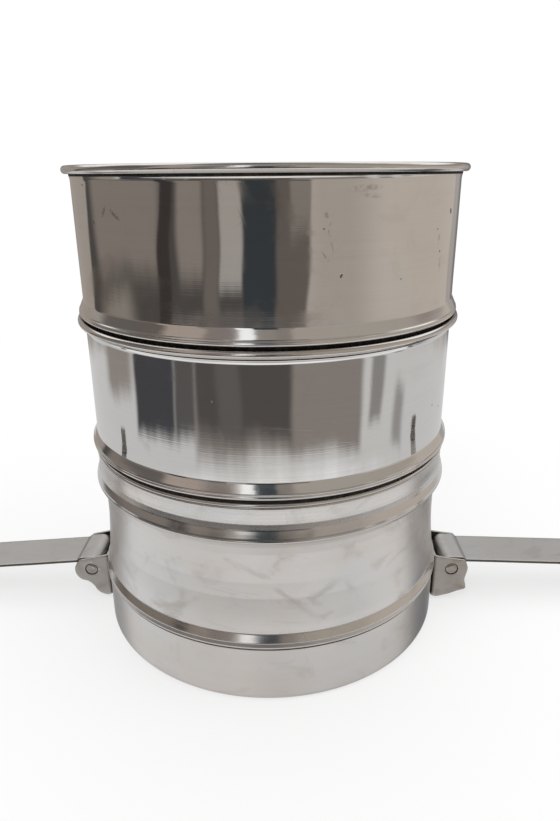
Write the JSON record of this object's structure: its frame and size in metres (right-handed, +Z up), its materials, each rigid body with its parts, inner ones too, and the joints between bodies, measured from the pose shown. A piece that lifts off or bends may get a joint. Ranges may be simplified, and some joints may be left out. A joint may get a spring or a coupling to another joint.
{
  "type": "tiffin carrier",
  "caption": "Round stacked metal food carrier with nesting containers, recessed lid with folding handle, and hinged side straps that hook over the rim.",
  "frame": {"origin": "centre of the foot, on the table", "axes": "+Z up the stack; +X through the right strap's bracket; +Y away from the front; straps folded out, all containers stacked, lid on and its handle down at rest"},
  "size_m": [0.5374, 0.1556, 0.1955],
  "materials": {
    "polished_steel": "mirror polished, with fine turning lines, small scratches and dark specks",
    "satin_steel": "satin, with faint turning lines and soft stains",
    "dull_steel": "dull rolled sheet, worn, slightly warm grey",
    "rivet_metal": "dull, hammered",
    "wire_steel": "polished wire with handling wear"
  },
  "bodies": {
    "base": {"bottom_container": "satin_steel", "base_skirt": "satin_steel", "left_bracket": "dull_steel", "right_bracket": "dull_steel", "left_bracket_rivets": "rivet_metal", "right_bracket_rivets": "rivet_metal", "left_hinge_pin": "rivet_metal", "right_hinge_pin": "rivet_metal"},
    "middle_tier": {"middle_container": "polished_steel"},
    "top_tier": {"top_container": "polished_steel"},
    "lid_group": {"lid": "polished_steel", "left_handle_lug": "dull_steel", "right_handle_lug": "dull_steel", "handle_lug_rivets": "rivet_metal"},
    "handle": {"bail_handle": "wire_steel"},
    "left_strap_arm": {"left_strap": "dull_steel", "left_hook": "dull_steel", "left_hook_rivets": "rivet_metal"},
    "right_strap_arm": {"right_strap": "dull_steel", "right_hook": "dull_steel", "right_hook_rivets": "rivet_metal"}
  },
  "joints": [
    {"name": "left_strap_hinge", "type": "hinge", "parent": "base", "child": "left_strap_arm", "pos_m": [-0.08505, 0, 0.0168], "axis": [0, 1, 0], "range_deg": [0, 94.2]},
    {"name": "right_strap_hinge", "type": "hinge", "parent": "base", "child": "right_strap_arm", "pos_m": [0.08505, 0, 0.0168], "axis": [0, -1, 0], "range_deg": [-2.4, 91.8]},
    {"name": "middle_tier_lift", "type": "slide", "parent": "base", "child": "middle_tier", "axis": [0, 0, 1], "range_m": [0, 0.125]},
    {"name": "top_tier_lift", "type": "slide", "parent": "middle_tier", "child": "top_tier", "axis": [0, 0, 1], "range_m": [0, 0.075]},
    {"name": "lid_lift", "type": "slide", "parent": "top_tier", "child": "lid_group", "axis": [0, 0, 1], "range_m": [0, 0.045]},
    {"name": "handle_hinge", "type": "hinge", "parent": "lid_group", "child": "handle", "pos_m": [0, 0, 0.1904], "axis": [1, 0, 0], "range_deg": [0, 187]}
  ]
}
